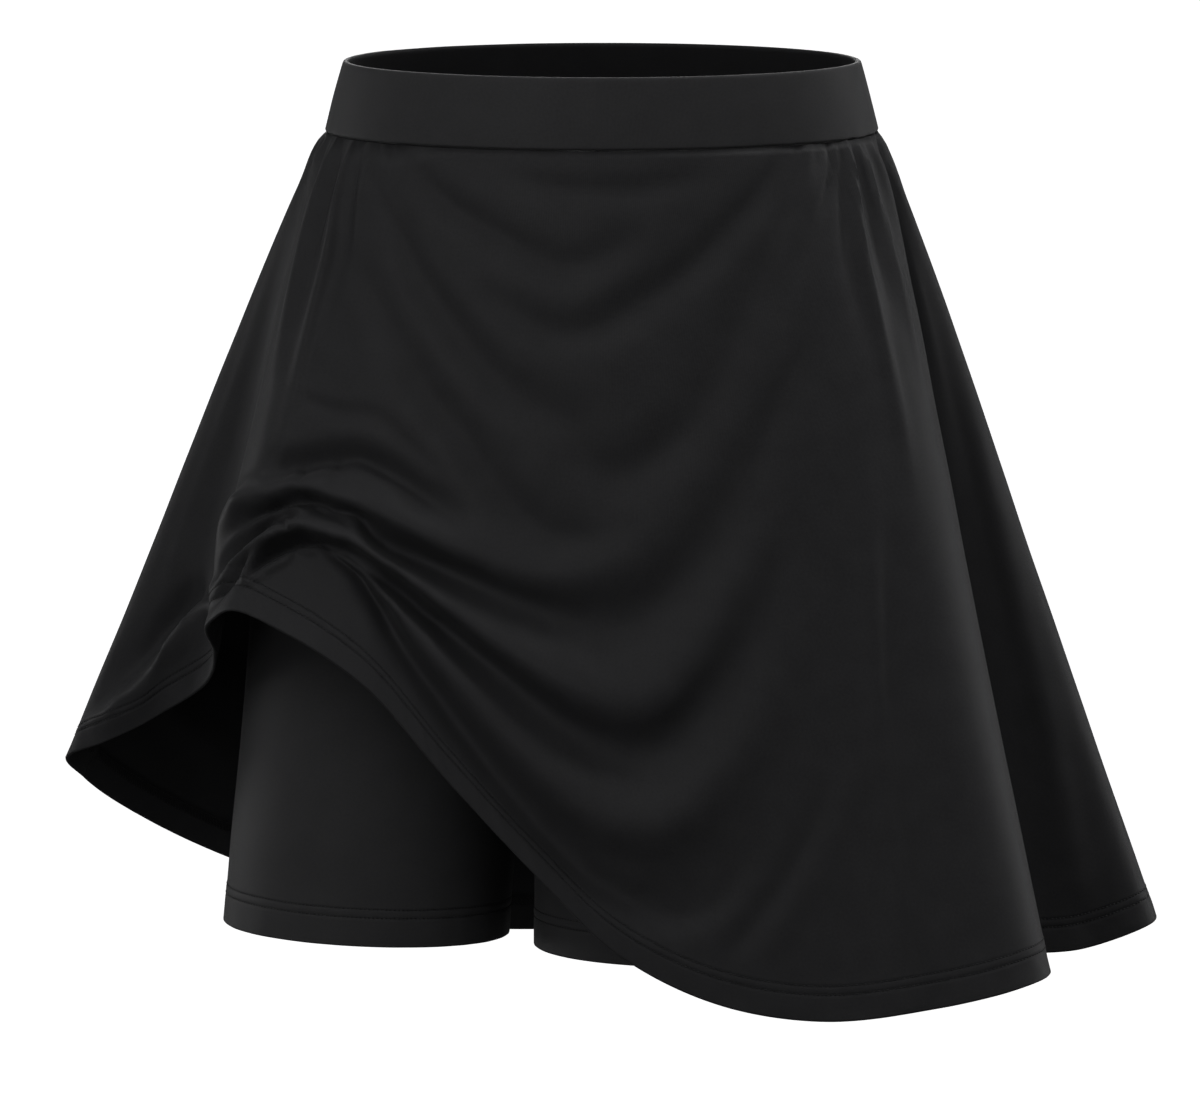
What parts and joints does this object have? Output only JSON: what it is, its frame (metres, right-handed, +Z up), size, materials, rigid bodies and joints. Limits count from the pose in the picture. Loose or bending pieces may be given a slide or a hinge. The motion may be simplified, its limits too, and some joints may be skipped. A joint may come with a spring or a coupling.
{
  "type": "tennis skort",
  "caption": "Flared tennis skort in its worn, filled-out form: plain wide waistband, gathered skirt with one side lifted and bunched, and fitted inner shorts.",
  "frame": {"origin": "middle of the waist opening, level with the band's top edge at the sides, where the wearer's waist holds the garment", "axes": "+Z up to the waist opening; -Y the front; -X the wearer's right, where the hem is lifted; +X the wearer's left"},
  "size_m": [0.5967, 0.3552, 0.5017],
  "materials": {
    "skirt_jersey": "matt black stretch jersey, soft sheen on its folds",
    "waistband_jersey": "the same jersey cut double, smooth and firm",
    "shorts_jersey": "fine black stretch jersey, matt"
  },
  "bodies": {
    "root": {"waistband": "waistband_jersey", "skirt_front": "skirt_jersey", "skirt_back": "skirt_jersey", "shorts_leg_right": "shorts_jersey", "shorts_leg_left": "shorts_jersey"}
  },
  "joints": []
}
